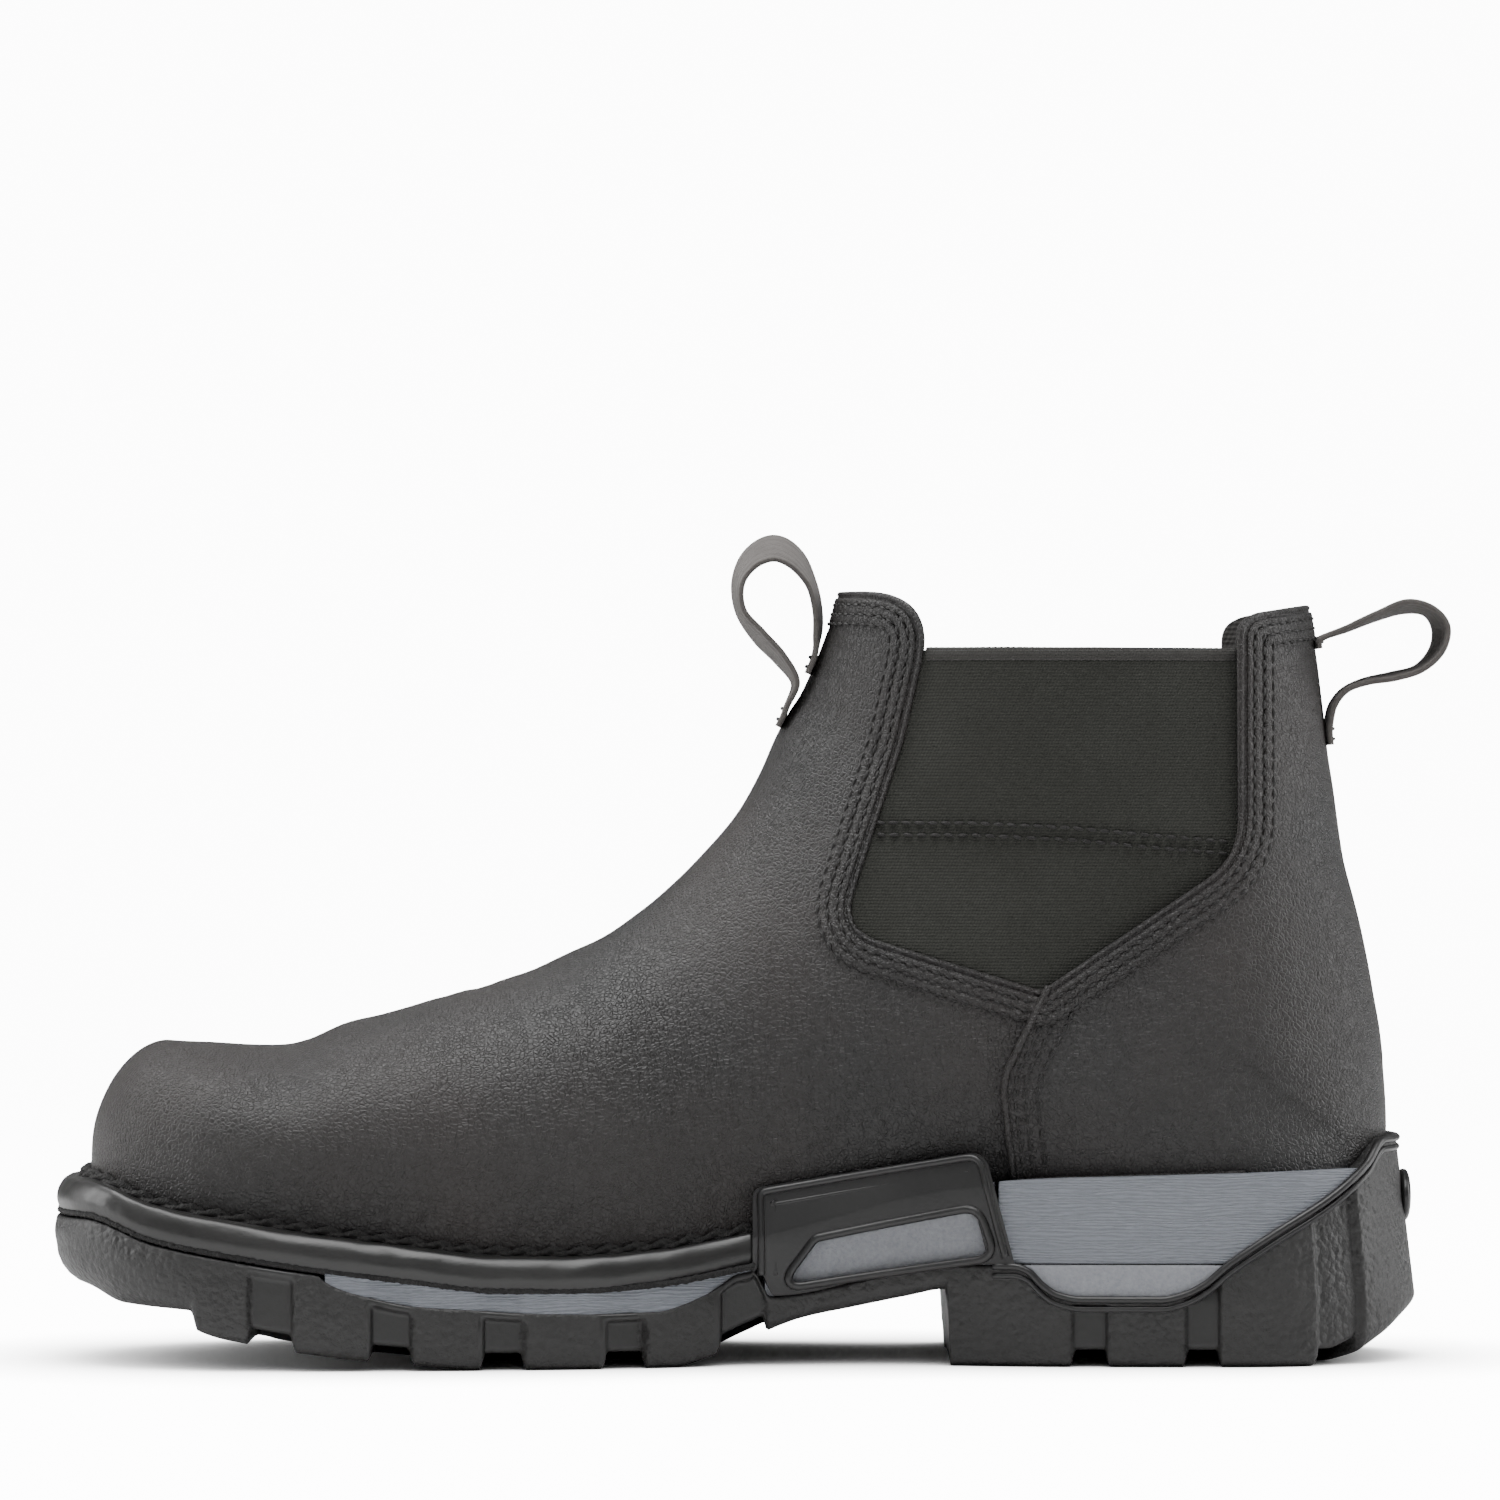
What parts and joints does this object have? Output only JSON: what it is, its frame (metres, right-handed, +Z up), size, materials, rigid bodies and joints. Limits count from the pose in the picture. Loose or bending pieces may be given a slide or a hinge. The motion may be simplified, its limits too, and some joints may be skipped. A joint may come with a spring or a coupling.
{
  "type": "side gore work boot",
  "caption": "Pull-on ankle work boot with elastic side panels, protective toe shape, welted lug sole, arch frame and two webbing pull loops; right foot",
  "frame": {"origin": "on the floor under the middle of the heel, on the flat of the heel block", "axes": "+X to the toe, +Y to the inner side of the foot, +Z up"},
  "size_m": [0.3169, 0.1117, 0.1885],
  "materials": {
    "leather": "black oiled full-grain leather, satin, with fine grain and creases",
    "elastic": "black elastic twill with a bound top edge",
    "welt_rubber": "black rubber bead with a twisted welt stitch",
    "midsole_foam": "grey foam, ribbed and stippled, matte",
    "frame_plastic": "smooth black plastic, satin",
    "outsole_rubber": "black rubber, stippled lug faces and smooth grooves",
    "insole_board": "dark grey fabric over board",
    "webbing": "dark grey ribbed polyester webbing"
  },
  "bodies": {
    "root": {"upper": "leather", "heel_quarter": "leather", "gore_medial": "elastic", "gore_lateral": "elastic", "welt": "welt_rubber", "midsole": "midsole_foam", "arch_frame": "frame_plastic", "outsole": "outsole_rubber", "insole": "insole_board", "pull_loop_front": "webbing", "pull_loop_rear": "webbing"}
  },
  "joints": []
}
